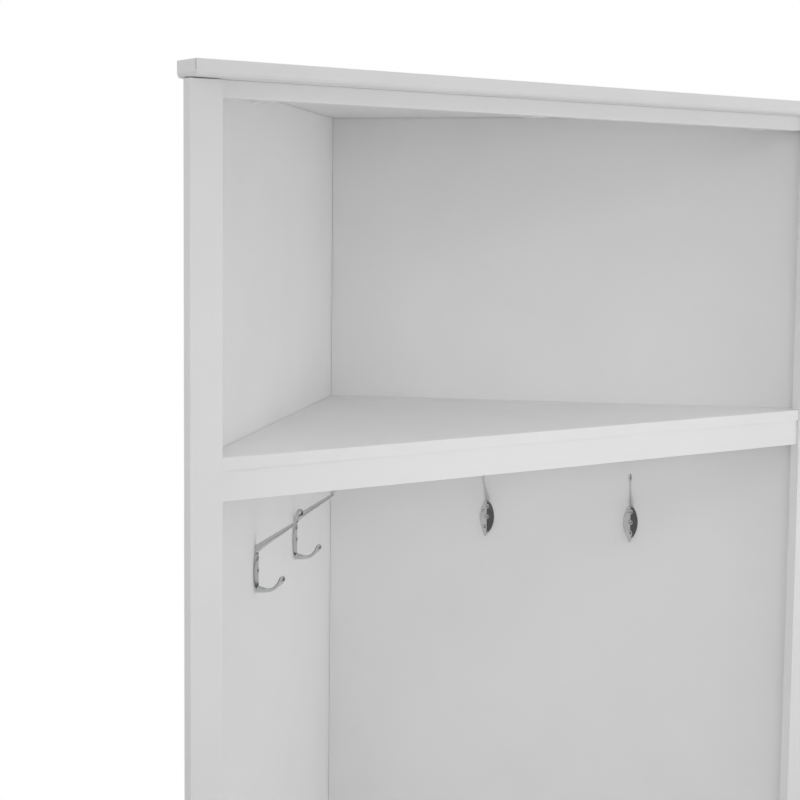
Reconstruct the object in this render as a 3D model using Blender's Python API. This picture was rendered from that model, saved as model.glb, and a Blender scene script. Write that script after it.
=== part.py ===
"""Corner coat unit with a 45 degree front, built as the separate pieces of a flat-pack kit.

Metres, +Z up. The origin is the centre of the footprint's box on the floor, and the open front faces -Y.
Two side panels meet at a right angle in the room's corner. Along each wall, s runs from the inside corner
towards the front and n runs out of the wall into the unit.
"""
import math

import bmesh
import bpy
from mathutils import Matrix, Vector

# ---------------------------------------------------------------- driving dimensions
GAP = 0.0003                    # between pieces that touch
ROOT2 = math.sqrt(2.0)

BOARD = 0.015                   # every board except the top one
WALL_LENGTH = 0.700             # inside face of a side panel, corner to stile
UNDERSIDE = 1.800               # underside of the top board above the floor

TOP_THICKNESS = 0.018
TOP_BEVEL = 0.0042              # along the lower front and end edges
TOP_FRONT_OVERHANG = 0.022
TOP_END_OVERHANG = 0.0038
TOP_WALL_OVERHANG = 0.008

STILE_WIDTH = 0.0412
STILE_TOP_GAP = 0.0012          # shadow line over each stile

RAIL_HEIGHT = 0.020
RAIL_RECESS = 0.011             # behind the stiles' front
RAIL_TOP_GAP = 0.0006

SHELF_TOP = 1.380
SHELF_RECESS = 0.0022
APRON_HEIGHT = 0.035
APRON_RECESS = 0.004

BOTTOM_TOP = 0.075
PLINTH_CLEARANCE = 0.002        # under the plinth

HOOK_Z = 1.202                  # centre of each hook's plate
HOOK_FIRST = 0.2425             # s of the hook nearest the corner
HOOK_PITCH = 0.215

LEAF_HALF_HEIGHT = 0.02825
LEAF_HALF_WIDTH = 0.0109
LEAF_EDGE = 0.0014              # thickness round the rim
LEAF_RIDGE = 0.0046             # height of the centre ridge
HOOK_SCREW_Z = (0.0168, 0.0008)     # above the plate's centre
HOOK_SCREW_SEAT = 0.0024            # plate's thickness under a screw's head
HOOK_SCREW_HEAD = 0.0034            # radius
HOOK_SCREW_SHANK = 0.0017
HOOK_SCREW_TOP = 0.0049             # head's top above the wall
HOOK_SCREW_TIP = -0.0115

BLOCK_SIZE = (0.024, 0.020, 0.0207)     # corner block: along the rail, back from it, down
BLOCK_SPACING = 0.401
BLOCK_SCREW_SIDE = 0.0066               # the rail screw's offset from the block's middle
BLOCK_SCREW = (0.0040, 0.0018, 0.0026, 0.026)   # head radius, shank radius, head height, length
BLOCK_SCREW_SUNK = 0.004
BLOCK_SCREW_ENTRY = 0.010               # length of the screw inside the block

CAM_RADIUS = 0.0075
CAM_DEPTH = 0.0125
CAM_REACH = 0.024               # board edge to the cam's axis
BOLT_RADIUS = 0.0030
BOLT_THREAD = 0.0105            # bolt's length inside the other board
BOLT_HEAD_SHIFT = 0.0005        # bolt's end past the cam's axis
CAM_MOUTH = ((-0.0150, -0.0040, -0.0115), (0.0022, 0.0040, -0.0035))    # slot for the bolt's head
OPEN = 0.002                    # how far a hole's cutter stands out of the board

DOWEL_RADIUS = 0.004
DOWEL_LENGTH = 0.030
DOWEL_SUNK = 0.008              # how far a dowel stands into a board's face
DOWEL_S = 0.400                 # along the wall
CAM_S = 0.180
RAIL_DOWEL_RADIUS = 0.003
RAIL_DOWEL_LENGTH = 0.025
RAIL_DOWEL_RISE = 0.010         # into the board over the rail
RAIL_DOWEL_U = 0.300

CORNER_SCREW = (0.0040, 0.0020, 0.0030, 0.045)  # head radius, shank radius, head height, length
CORNER_SCREW_Z = {"lower": 0.300, "middle": 0.900, "upper": 1.500}

PIN_SIDES = 8                   # facets round screws, dowels and bolts
CAM_SIDES = 12
ROD_SIDES = 10                  # facets round a hook's prong

# ---------------------------------------------------------------- places worked out from them
STILE_BACK = WALL_LENGTH / ROOT2                        # depth v from the inside corner
STILE_FRONT = STILE_BACK + BOARD
STILE_OUTER = (WALL_LENGTH + 2.0 * BOARD) / ROOT2
STILE_INNER = STILE_OUTER - STILE_WIDTH
TOP_FRONT = STILE_FRONT + TOP_FRONT_OVERHANG
TOP_CORNER = -(BOARD + TOP_WALL_OVERHANG) * ROOT2
CORNER_Y = (TOP_FRONT + TOP_CORNER) / 2.0               # centres the footprint's box on Y = 0
BETWEEN = STILE_INNER - GAP                             # half-length of what lies between the stiles
RAIL_FRONT = STILE_FRONT - RAIL_RECESS
SHELF_FRONT = STILE_FRONT - SHELF_RECESS
APRON_FRONT = STILE_FRONT - APRON_RECESS
SHELF_UNDER = SHELF_TOP - BOARD
BOTTOM_UNDER = BOTTOM_TOP - BOARD
SIDES = {"left": -1, "right": 1}


def plan(u, v):
    """World X, Y of a point u across the front and v forward of the inside corner."""
    return (u, CORNER_Y - v)


def on_wall(side, s, n, z):
    """World point s along a wall from the inside corner, n out of its inside face."""
    u = side * (s - n) / ROOT2
    v = (s + n) / ROOT2
    return Vector((*plan(u, v), z))


def along_wall(side):
    return Vector((side, -1.0, 0.0)).normalized()


def out_of_wall(side):
    return Vector((-side, -1.0, 0.0)).normalized()


UP = Vector((0.0, 0.0, 1.0))
DOWN = -UP
FORWARD = Vector((0.0, -1.0, 0.0))


def aimed(point, direction):
    """Matrix that puts a piece turned about +Z at a point, with its +Z along a direction."""
    turn = Vector(direction).to_track_quat("Z", "Y").to_matrix().to_4x4()
    return Matrix.Translation(point) @ turn


# ---------------------------------------------------------------- solids
def add_faces(bm, points, faces, matrix=None):
    verts = [bm.verts.new(matrix @ Vector(p) if matrix else Vector(p)) for p in points]
    for face in faces:
        bm.faces.new([verts[i] for i in face])


def add_prism(bm, outline, low, high, matrix=None):
    """Outline in X, Y pushed up from low to high."""
    count = len(outline)
    points = [(x, y, low) for x, y in outline] + [(x, y, high) for x, y in outline]
    faces = [list(range(count)), list(range(count, 2 * count))]
    faces += [[i, (i + 1) % count, count + (i + 1) % count, count + i] for i in range(count)]
    add_faces(bm, points, faces, matrix)


def add_box(bm, low, high, matrix=None):
    outline = [(low[0], low[1]), (high[0], low[1]), (high[0], high[1]), (low[0], high[1])]
    add_prism(bm, outline, low[2], high[2], matrix)


def add_turned(bm, profile, sides, matrix):
    """Profile of (radius, height) turned about Z; a flat face closes each end."""
    rings = []
    for radius, height in profile:
        angles = [2.0 * math.pi * i / sides for i in range(sides)]
        ring = [(radius * math.cos(a), radius * math.sin(a), height) for a in angles]
        rings.append([bm.verts.new(matrix @ Vector(p)) for p in ring])
    for lower, upper in zip(rings, rings[1:]):
        for i in range(sides):
            j = (i + 1) % sides
            bm.faces.new([lower[i], lower[j], upper[j], upper[i]])
    bm.faces.new(rings[0])
    bm.faces.new(rings[-1])


def add_rod(bm, path, widths, depths):
    """Oval rod along a path in the YZ plane: half-width across X, half-depth in the plane."""
    rings = []
    for i, centre in enumerate(path):
        ahead = path[min(i + 1, len(path) - 1)] - path[max(i - 1, 0)]
        normal = Vector((0.0, -ahead.z, ahead.y)).normalized()
        ring = []
        for k in range(ROD_SIDES):
            angle = 2.0 * math.pi * (k + 0.5) / ROD_SIDES
            across = Vector((widths[i] * math.cos(angle), 0.0, 0.0))
            ring.append(bm.verts.new(centre + across + normal * depths[i] * math.sin(angle)))
        rings.append(ring)
    for lower, upper in zip(rings, rings[1:]):
        for k in range(ROD_SIDES):
            m = (k + 1) % ROD_SIDES
            bm.faces.new([lower[k], lower[m], upper[m], upper[k]])
    bm.faces.new(rings[0])
    bm.faces.new(rings[-1])


def solid(name, build, *args):
    """Mesh of one or more closed solids, with their faces turned outwards."""
    bm = bmesh.new()
    build(bm, *args)
    bmesh.ops.recalc_face_normals(bm, faces=bm.faces)
    mesh = bpy.data.meshes.new(name)
    bm.to_mesh(mesh)
    bm.free()
    return mesh


def combined(base, tools, operation):
    """Base mesh after an exact Boolean with each tool mesh in turn."""
    for tool in tools:
        body = bpy.data.objects.new("body", base)
        cutter = bpy.data.objects.new("cutter", tool)
        cutter.hide_render = True
        cutter.display_type = "WIRE"
        for item in (body, cutter):
            bpy.context.scene.collection.objects.link(item)
        step = body.modifiers.new("step", "BOOLEAN")
        step.operation = operation
        step.solver = "EXACT"
        step.object = cutter
        bpy.context.view_layer.update()
        graph = bpy.context.evaluated_depsgraph_get()
        base = bpy.data.meshes.new_from_object(body.evaluated_get(graph))
        bpy.data.objects.remove(body)
        bpy.data.objects.remove(cutter)
    return base


def material(name, colour, roughness, metallic):
    mat = bpy.data.materials.new(name)
    mat.use_nodes = True
    shader = mat.node_tree.nodes["Principled BSDF"]
    shader.inputs["Base Color"].default_value = (*colour, 1.0)
    shader.inputs["Roughness"].default_value = roughness
    shader.inputs["Metallic"].default_value = metallic
    return mat


def place(name, mesh, mat, matrix=None, smooth=False):
    """Put one named sub-part in the scene."""
    mesh.name = name
    mesh.materials.clear()
    mesh.materials.append(mat)
    if smooth:
        mesh.shade_smooth()
        mesh.set_sharp_from_angle(angle=math.radians(40.0))
    item = bpy.data.objects.new(name, mesh)
    bpy.context.scene.collection.objects.link(item)
    if matrix:
        item.matrix_world = matrix
    return item


# ---------------------------------------------------------------- fasteners and their holes
class Fasteners:
    """Every screw, bolt, dowel and lock, and the holes that they need, board by board."""

    def __init__(self):
        self.meshes = {}
        self.holes = {}

    def add(self, name, profile, matrix, holes, sides=PIN_SIDES):
        """Add one turned piece; holes maps a board's name to the profile cut out of that board."""
        self.meshes[name] = solid(name, add_turned, profile, sides, matrix)
        for board, cut in holes.items():
            self.holes.setdefault(board, []).append(solid("hole", add_turned, cut, sides, matrix))

    def drill(self, board, mesh):
        """The board's mesh with all of its holes."""
        return combined(mesh, self.holes.get(board, []), "DIFFERENCE")


def screw_profile(head_radius, shank_radius, head_height, length):
    """Countersunk screw, its head's flat face at 0 and its tip at -length."""
    return [
        (shank_radius * 0.35, -length),
        (shank_radius, -length + 2.0 * shank_radius),
        (shank_radius, -head_height),
        (head_radius, -0.0004),
        (head_radius, 0.0),
    ]


def pilot(radius, start, length):
    """Blind hole for the part of a screw below start, as deep as the screw's own length."""
    return [(radius + GAP, -length - GAP), (radius + GAP, start)]


def pin_profile(radius, length):
    """Dowel with chamfered ends, centred on 0."""
    half = length / 2.0
    chamfer = 0.0008
    return [
        (radius - chamfer, -half),
        (radius, -half + chamfer),
        (radius, half - chamfer),
        (radius - chamfer, half),
    ]


def pin_hole(radius, length):
    half = length / 2.0 + GAP
    return [(radius + GAP, -half), (radius + GAP, half)]


# ---------------------------------------------------------------- boards
def side_panel(bm, side, start):
    """Panel against one wall from s = start; its front end is mitred to the back of the stile."""
    reach = (STILE_BACK - GAP) * ROOT2
    corners = [(start, 0.0), (reach, 0.0), (reach + BOARD, -BOARD), (start, -BOARD)]
    outline = [tuple(on_wall(side, s, n, 0.0).xy) for s, n in corners]
    add_prism(bm, outline, 0.0, UNDERSIDE - GAP)


def stile(bm, side):
    low = (min(side * STILE_INNER, side * STILE_OUTER), CORNER_Y - STILE_FRONT, 0.0)
    high = (max(side * STILE_INNER, side * STILE_OUTER), CORNER_Y - STILE_BACK, UNDERSIDE - STILE_TOP_GAP)
    add_box(bm, low, high)


def top_board(bm):
    """Top board with a 45 degree front; the lower front and end edges are eased by a bevel."""
    end = STILE_OUTER + TOP_END_OVERHANG
    end_back = end + TOP_CORNER
    outline = [plan(-end, TOP_FRONT), plan(end, TOP_FRONT), plan(end, end_back)]
    outline += [plan(0.0, TOP_CORNER), plan(-end, end_back)]
    add_prism(bm, outline, UNDERSIDE, UNDERSIDE + TOP_THICKNESS)
    eased = []
    for edge in bm.edges:
        low = all(abs(v.co.z - UNDERSIDE) < GAP for v in edge.verts)
        front = all(v.co.y < plan(0.0, end_back)[1] + GAP for v in edge.verts)
        if low and front and edge.calc_length() < 2.0 * end + GAP:
            eased.append(edge)
    bmesh.ops.bevel(bm, geom=eased, offset=TOP_BEVEL, segments=1, affect="EDGES")


def notched_board(bm, front, high):
    """Shelf or bottom board: fits the two walls and is notched round the stiles."""
    wall = GAP * ROOT2
    shoulder = STILE_BACK - GAP
    right = [(BETWEEN, front), (BETWEEN, shoulder), (shoulder - wall, shoulder)]
    left = [(-u, v) for u, v in reversed(right)]
    outline = [plan(u, v) for u, v in right + [(0.0, wall)] + left]
    add_prism(bm, outline, high - BOARD, high)


def cross_rail(bm, front, low, high):
    """Straight rail between the stiles."""
    add_box(bm, (-BETWEEN, CORNER_Y - front, low), (BETWEEN, CORNER_Y - front + BOARD, high))


# ---------------------------------------------------------------- hook casting
def leaf_width(z):
    """Half-width of the leaf plate at height z: two arcs that meet in points."""
    radius = (LEAF_HALF_HEIGHT ** 2 + LEAF_HALF_WIDTH ** 2) / (2.0 * LEAF_HALF_WIDTH)
    return math.sqrt(radius ** 2 - z ** 2) - (radius - LEAF_HALF_WIDTH)


def leaf_plate(bm):
    """Leaf-shaped plate with a ridge down its middle; -Y is away from the wall."""
    steps = 8
    heights = [0.96 * LEAF_HALF_HEIGHT * math.sin(math.pi * (i / steps - 0.5)) for i in range(steps + 1)]
    rows = []
    for z in heights:
        w = leaf_width(z)
        section = [(-w, -GAP), (-w, -LEAF_EDGE), (0.0, -LEAF_RIDGE), (w, -LEAF_EDGE), (w, -GAP)]
        rows.append([bm.verts.new((x, y, z)) for x, y in section])
    for lower, upper in zip(rows, rows[1:]):
        for i in range(len(lower)):
            j = (i + 1) % len(lower)
            bm.faces.new([lower[i], lower[j], upper[j], upper[i]])
    bm.faces.new(rows[0])
    bm.faces.new(rows[-1])


def bent_path(start, first, straight, radius, last, tail, steps):
    """Points (0, -n, z) of a straight run, a bend and a straight tail; angles from level, in degrees."""
    a0 = math.radians(first)
    a1 = math.radians(last)
    n, z = start
    points = []
    for t in (0.0, 0.5 * straight, straight):
        points.append((n + t * math.cos(a0), z + t * math.sin(a0)))
    n, z = points[-1]
    for i in range(1, steps + 1):
        a = a0 + (a1 - a0) * i / steps
        bend = (math.sin(a) - math.sin(a0), math.cos(a0) - math.cos(a))
        points.append((n + radius * bend[0], z + radius * bend[1]))
    n, z = points[-1]
    for t in tail:
        points.append((n + t * math.cos(a1), z + t * math.sin(a1)))
    return [Vector((0.0, -n, z)) for n, z in points]


def upper_prong(bm):
    """Long prong for hats: rises from the plate's top and ends in an upright drop-shaped tip."""
    tail = (0.0030, 0.0075, 0.0120, 0.0155, 0.0175, 0.0185)
    root = Vector((0.0, -0.0024, 0.0235))
    path = [root] + bent_path((0.0026, 0.0300), 33.0, 0.0578, 0.0050, 70.0, tail, 2)
    widths = [0.0026, 0.0030, 0.0024, 0.0015, 0.0013, 0.0014]
    widths += [0.0020, 0.0027, 0.0028, 0.0023, 0.0015, 0.0005]
    depths = [0.0020, 0.0028, 0.0033, 0.0024, 0.0020, 0.0020]
    depths += [0.0031, 0.0044, 0.0048, 0.0042, 0.0028, 0.0009]
    add_rod(bm, path, widths, depths)


def lower_prong(bm):
    """Short prong for coats: runs out level from the plate's foot and curls up to a ball."""
    tail = (0.0040, 0.0075, 0.0098, 0.0111)
    path = bent_path((0.0020, -0.0240), 0.0, 0.0128, 0.0200, 58.0, tail, 4)
    widths = [0.0026, 0.0022, 0.0021, 0.0021, 0.0021, 0.0022, 0.0025, 0.0033, 0.0037, 0.0028, 0.0010]
    depths = [0.0040, 0.0029, 0.0023, 0.0022, 0.0021, 0.0021, 0.0023, 0.0034, 0.0038, 0.0028, 0.0010]
    add_rod(bm, path, widths, depths)


def hook_screw_holes(bm):
    """Clearance hole and flat seat for each of the plate's two screws."""
    for z in HOOK_SCREW_Z:
        hole = HOOK_SCREW_SHANK + 0.0004
        seat = HOOK_SCREW_HEAD + 0.0004
        profile = [(hole, -0.001), (hole, HOOK_SCREW_SEAT), (seat, HOOK_SCREW_SEAT), (seat, 0.0080)]
        add_turned(bm, profile, PIN_SIDES, aimed(Vector((0.0, 0.0, z)), FORWARD))


def hook_casting():
    """One casting: plate and both prongs, drilled for its screws."""
    casting = solid("leaf", leaf_plate)
    casting = combined(casting, [solid("upper", upper_prong), solid("lower", lower_prong)], "UNION")
    return combined(casting, [solid("drill", hook_screw_holes)], "DIFFERENCE")


# ---------------------------------------------------------------- sets of fasteners
def hook_positions():
    """Name, wall and s of each hook."""
    for label, side in SIDES.items():
        for place_name, s in (("rear", HOOK_FIRST), ("front", HOOK_FIRST + HOOK_PITCH)):
            yield label, place_name, side, s


def add_hook_screws(kit):
    """Two pan-headed screws through each hook's plate into the side panel."""
    shank, head, tip = HOOK_SCREW_SHANK, HOOK_SCREW_HEAD, HOOK_SCREW_TIP
    seat = HOOK_SCREW_SEAT + GAP
    profile = [(0.35 * shank, tip), (shank, tip + 0.003), (shank, seat), (head, seat)]
    profile += [(head, HOOK_SCREW_TOP - 0.0012), (0.65 * head, HOOK_SCREW_TOP)]
    hole = [(shank + GAP, tip - GAP), (shank + GAP, OPEN)]
    for label, row, side, s in hook_positions():
        for level, z in zip(("upper", "lower"), HOOK_SCREW_Z):
            name = "hook_screw_" + label + "_" + row + "_" + level
            matrix = aimed(on_wall(side, s, 0.0, HOOK_Z + z), out_of_wall(side))
            kit.add(name, profile, matrix, {label + "_side_panel": hole})


def add_board_joints(kit):
    """One cam lock with its bolt and one dowel at each end of the top, shelf and bottom boards."""
    dowel = pin_profile(DOWEL_RADIUS, DOWEL_LENGTH)
    cut = pin_hole(DOWEL_RADIUS, DOWEL_LENGTH)
    inset = DOWEL_LENGTH / 2.0 - DOWEL_SUNK
    for label, side in SIDES.items():
        panel = label + "_side_panel"
        out = out_of_wall(side)
        matrix = aimed(on_wall(side, DOWEL_S, -BOARD / 2.0, UNDERSIDE - inset), UP)
        kit.add("dowel_top_" + label, dowel, matrix, {panel: cut, "top_board": cut})
        lock_point = on_wall(side, CAM_S, -BOARD, UNDERSIDE - CAM_REACH)
        add_cam_joint(kit, "top_" + label, lock_point, -out, UP, panel, "top_board")
        levels = (("shelf", "shelf_board", SHELF_TOP), ("bottom", "bottom_board", BOTTOM_TOP))
        for level, board, high in levels:
            matrix = aimed(on_wall(side, DOWEL_S, inset, high - BOARD / 2.0), out)
            kit.add("dowel_" + level + "_" + label, dowel, matrix, {panel: cut, board: cut})
            lock_point = on_wall(side, CAM_S, CAM_REACH, high - BOARD)
            add_cam_joint(kit, level + "_" + label, lock_point, DOWN, -out, board, panel)


def add_cam_joint(kit, name, face_point, face_normal, towards_edge, lock_board, bolt_board):
    """Lock in one board's face; its bolt comes through that board's edge from another board."""
    local_x = -towards_edge
    local_y = face_normal.cross(local_x)
    turn = Matrix((local_x, local_y, face_normal)).transposed().to_4x4()
    matrix = Matrix.Translation(face_point) @ turn
    drum = solid("drum", add_turned, [(CAM_RADIUS, -CAM_DEPTH + GAP), (CAM_RADIUS, 0.0)], CAM_SIDES, matrix)
    mouth = solid("mouth", add_box, *CAM_MOUTH, matrix)
    kit.meshes["cam_lock_" + name] = combined(drum, [mouth], "DIFFERENCE")
    pocket = [(CAM_RADIUS + GAP, -CAM_DEPTH), (CAM_RADIUS + GAP, OPEN)]
    kit.holes.setdefault(lock_board, []).append(solid("pocket", add_turned, pocket, CAM_SIDES, matrix))
    head = matrix @ Vector((BOLT_HEAD_SHIFT, 0.0, -BOARD / 2.0))
    length = CAM_REACH + BOLT_HEAD_SHIFT + BOLT_THREAD
    r = BOLT_RADIUS
    profile = [(r, 0.0), (r, 0.0020), (0.6 * r, 0.0025), (0.6 * r, 0.0060), (r, 0.0070), (r, length)]
    run = [(r + GAP, -0.0010), (r + GAP, length + GAP)]
    kit.add("cam_bolt_" + name, profile, aimed(head, towards_edge), {lock_board: run, bolt_board: run})


def add_corner_screws(kit):
    """Long screws through the left panel into the end of the right panel."""
    head, shank, sink, length = CORNER_SCREW
    profile = screw_profile(head, shank, sink, length)
    through = [(shank + GAP, -length - GAP), (shank + GAP, -sink)]
    through += [(head + GAP, -0.0004), (head + GAP, OPEN)]
    holes = {"left_side_panel": through, "right_side_panel": pilot(shank, -0.7 * BOARD, length)}
    side = SIDES["left"]
    for level, z in CORNER_SCREW_Z.items():
        point = on_wall(side, -BOARD / 2.0, -BOARD, z)
        kit.add("corner_screw_" + level, profile, aimed(point, -out_of_wall(side)), holes)


def add_rail_dowels(kit):
    """Two dowels up from the apron and the plinth into the boards over them."""
    dowel = pin_profile(RAIL_DOWEL_RADIUS, RAIL_DOWEL_LENGTH)
    cut = pin_hole(RAIL_DOWEL_RADIUS, RAIL_DOWEL_LENGTH)
    v = APRON_FRONT - BOARD / 2.0
    rows = (
        ("apron", "shelf_apron", "shelf_board", SHELF_UNDER),
        ("plinth", "plinth_rail", "bottom_board", BOTTOM_UNDER),
    )
    for row, rail, board, under in rows:
        for label, side in SIDES.items():
            middle = under + RAIL_DOWEL_RISE - RAIL_DOWEL_LENGTH / 2.0
            point = Vector((*plan(side * RAIL_DOWEL_U, v), middle))
            kit.add(row + "_dowel_" + label, dowel, aimed(point, UP), {rail: cut, board: cut})


def corner_blocks(kit):
    """Plastic blocks behind the top rail, each with one screw up into the board and one into the rail."""
    wide, back, down = BLOCK_SIZE
    head, shank, sink, length = BLOCK_SCREW
    wall = head + 0.0004
    profile = screw_profile(head, shank, sink, length)
    seat = [(shank + GAP, -length), (shank + GAP, -sink - 0.0006), (wall, -sink), (wall, back)]
    entry = pilot(shank, -BLOCK_SCREW_ENTRY, length)
    blocks = {}
    for place_name, u in (("left", -BLOCK_SPACING), ("middle", 0.0), ("right", BLOCK_SPACING)):
        name = "rail_block_" + place_name
        x, y = plan(u, RAIL_FRONT - BOARD)
        y += GAP
        low = (x - wide / 2.0, y, UNDERSIDE - down)
        high = (x + wide / 2.0, y + back, UNDERSIDE - GAP)
        blocks[name] = solid(name, add_box, low, high)
        point = Vector((x, y + back / 2.0, UNDERSIDE - down + BLOCK_SCREW_SUNK))
        kit.add(name + "_screw_up", profile, aimed(point, DOWN), {name: seat, "top_board": entry})
        point = Vector((x + BLOCK_SCREW_SIDE, y + back - BLOCK_SCREW_SUNK, UNDERSIDE - down / 2.0))
        kit.add(name + "_screw_side", profile, aimed(point, -FORWARD), {name: seat, "top_rail": entry})
    return blocks


# ---------------------------------------------------------------- wall brackets
BRACKET_LEG = 0.028
BRACKET_WIDTH = 0.016
BRACKET_METAL = 0.0016
BRACKET_S = 0.330
BRACKET_WALL_HOLE = 0.019       # above the top board
BRACKET_TOP_HOLE = 0.018        # from the room's wall
BRACKET_SCREW_HEAD = 0.0036     # radius
BRACKET_SCREW_SHANK = 0.0018
BRACKET_SCREW_RISE = 0.0020     # height of the head
BRACKET_SCREW_LENGTH = 0.012


def wall_bracket(bm, side):
    """Steel angle on top of the unit: one leg on the top board, the other flat to the room's wall."""
    face = -(BOARD + TOP_WALL_OVERHANG)
    top = UNDERSIDE + TOP_THICKNESS + GAP
    outline = [
        (face, 0.0),
        (face + BRACKET_LEG, 0.0),
        (face + BRACKET_LEG, BRACKET_METAL),
        (face + BRACKET_METAL, BRACKET_METAL),
        (face + BRACKET_METAL, BRACKET_LEG),
        (face, BRACKET_LEG),
    ]
    origin = on_wall(side, BRACKET_S, 0.0, top)
    across = along_wall(side)
    out = out_of_wall(side)
    frame = Matrix((out, UP, across)).transposed().to_4x4()
    add_prism(bm, outline, -BRACKET_WIDTH / 2.0, BRACKET_WIDTH / 2.0, Matrix.Translation(origin) @ frame)


def bracket_wall_hole(bm, side):
    """Hole in the upright leg for the screw into the room's wall."""
    top = UNDERSIDE + TOP_THICKNESS
    point = on_wall(side, BRACKET_S, -(BOARD + TOP_WALL_OVERHANG), top + BRACKET_WALL_HOLE)
    profile = [(0.0024, -OPEN), (0.0024, BRACKET_METAL + OPEN)]
    add_turned(bm, profile, PIN_SIDES, aimed(point, out_of_wall(side)))


def add_bracket_screws(kit):
    """One screw through each wall bracket down into the top board."""
    head, shank, length = BRACKET_SCREW_HEAD, BRACKET_SCREW_SHANK, BRACKET_SCREW_LENGTH
    rise = BRACKET_SCREW_RISE
    top = UNDERSIDE + TOP_THICKNESS + GAP + BRACKET_METAL + GAP
    profile = [(0.4 * shank, -length), (shank, -length + 0.003), (shank, 0.0), (head, 0.0)]
    profile += [(head, 0.5 * rise), (0.55 * head, rise)]
    cut = [(shank + GAP, -length - GAP), (shank + GAP, OPEN)]
    for label, side in SIDES.items():
        point = on_wall(side, BRACKET_S, -(BOARD + TOP_WALL_OVERHANG) + BRACKET_TOP_HOLE, top)
        holes = {"wall_bracket_" + label: cut, "top_board": cut}
        kit.add("wall_bracket_screw_" + label, profile, aimed(point, UP), holes)


# ---------------------------------------------------------------- assembly
def clear_scene():
    for item in list(bpy.data.objects):
        bpy.data.objects.remove(item, do_unlink=True)


def board_meshes():
    """Every board before drilling, by node name."""
    rail_low = UNDERSIDE - RAIL_HEIGHT
    boards = {
        "top_board": solid("top_board", top_board),
        "top_rail": solid("top_rail", cross_rail, RAIL_FRONT, rail_low, UNDERSIDE - RAIL_TOP_GAP),
        "shelf_board": solid("shelf_board", notched_board, SHELF_FRONT, SHELF_TOP),
        "shelf_apron": solid(
            "shelf_apron", cross_rail, APRON_FRONT, SHELF_UNDER - APRON_HEIGHT, SHELF_UNDER - GAP
        ),
        "bottom_board": solid("bottom_board", notched_board, SHELF_FRONT, BOTTOM_TOP),
        "plinth_rail": solid(
            "plinth_rail", cross_rail, APRON_FRONT, PLINTH_CLEARANCE, BOTTOM_UNDER - GAP
        ),
        "left_side_panel": solid("left_side_panel", side_panel, -1, -BOARD),
        "right_side_panel": solid("right_side_panel", side_panel, 1, GAP),
    }
    for label, side in SIDES.items():
        boards[label + "_stile"] = solid(label + "_stile", stile, side)
    return boards


def fastener_finish(name):
    """Beech for a dowel, zinc for a lock or bolt, bright steel for a screw."""
    if "dowel" in name:
        return material(name, (0.62, 0.45, 0.27), 0.6, 0.0)
    if "cam" in name:
        return material(name, (0.55, 0.55, 0.56), 0.4, 1.0)
    return material(name, (0.70, 0.70, 0.71), 0.2, 1.0)


def main():
    clear_scene()
    kit = Fasteners()
    add_hook_screws(kit)
    add_board_joints(kit)
    add_corner_screws(kit)
    add_rail_dowels(kit)
    add_bracket_screws(kit)
    blocks = corner_blocks(kit)

    for name, mesh in board_meshes().items():
        place(name, kit.drill(name, mesh), material(name, (0.80, 0.80, 0.80), 0.45, 0.0))
    for name, mesh in blocks.items():
        place(name, kit.drill(name, mesh), material(name, (0.85, 0.85, 0.84), 0.40, 0.0))
    for label, side in SIDES.items():
        name = "wall_bracket_" + label
        hole = solid("hole", bracket_wall_hole, side)
        angle = combined(solid(name, wall_bracket, side), [hole], "DIFFERENCE")
        place(name, kit.drill(name, angle), material(name, (0.62, 0.62, 0.63), 0.30, 1.0))
    for name, mesh in kit.meshes.items():
        place(name, mesh, fastener_finish(name), smooth=True)

    casting = hook_casting()
    for label, row, side, s in hook_positions():
        name = "coat_hook_" + label + "_" + row
        turn = Matrix.Rotation(-side * math.pi / 4.0, 4, "Z")
        matrix = Matrix.Translation(on_wall(side, s, 0.0, HOOK_Z)) @ turn
        place(name, casting.copy(), material(name, (0.75, 0.75, 0.76), 0.12, 1.0), matrix, smooth=True)


main()
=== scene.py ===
"""Looks of the corner coat unit: white foiled boards, polished hooks and their fittings."""
import math

import bmesh
import bpy
from mathutils import Matrix, Vector


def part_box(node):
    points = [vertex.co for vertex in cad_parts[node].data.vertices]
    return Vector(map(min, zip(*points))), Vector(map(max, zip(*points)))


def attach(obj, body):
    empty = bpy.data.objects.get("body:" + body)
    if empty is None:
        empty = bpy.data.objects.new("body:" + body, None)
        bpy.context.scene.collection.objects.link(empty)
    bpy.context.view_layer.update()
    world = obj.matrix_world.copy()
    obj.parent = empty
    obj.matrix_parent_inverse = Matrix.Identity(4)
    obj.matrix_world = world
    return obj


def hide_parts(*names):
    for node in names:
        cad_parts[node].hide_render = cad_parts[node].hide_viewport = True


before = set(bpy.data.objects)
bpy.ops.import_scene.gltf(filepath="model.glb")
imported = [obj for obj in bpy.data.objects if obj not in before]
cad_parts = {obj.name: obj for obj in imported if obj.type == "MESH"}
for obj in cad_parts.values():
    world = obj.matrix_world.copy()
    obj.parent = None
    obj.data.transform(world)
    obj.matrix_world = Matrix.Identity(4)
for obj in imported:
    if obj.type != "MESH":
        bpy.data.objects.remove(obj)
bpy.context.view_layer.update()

# ---------------------------------------------------------------- sizes, in metres
ROOT2 = math.sqrt(2.0)
MM = 0.001
GAP = 0.3 * MM                  # between pieces that touch on the real object
EDGE_RADIUS = 0.5 * MM          # banded edges of the boards
EASED_EDGE = 4.2 * MM           # lower front edge of the top board
BAND_LINE_WIDTH = 1.6 * MM      # joint of two edge bands, at each front corner of the top board
BAND_LINE_DEPTH = 2.8 * MM
BAND_LINE_FOOT = 1.4 * EASED_EDGE       # above the board's lower face
SHANK_HOLE = 2.1 * MM           # radius of the plain hole round a screw
FLAT_DRIVE = 4.2 * MM           # span of the cross in a countersunk head
ROUND = 32                      # sides of a turned piece
FINE_ROUND = 48                 # and of one that is larger or seen close
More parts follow.
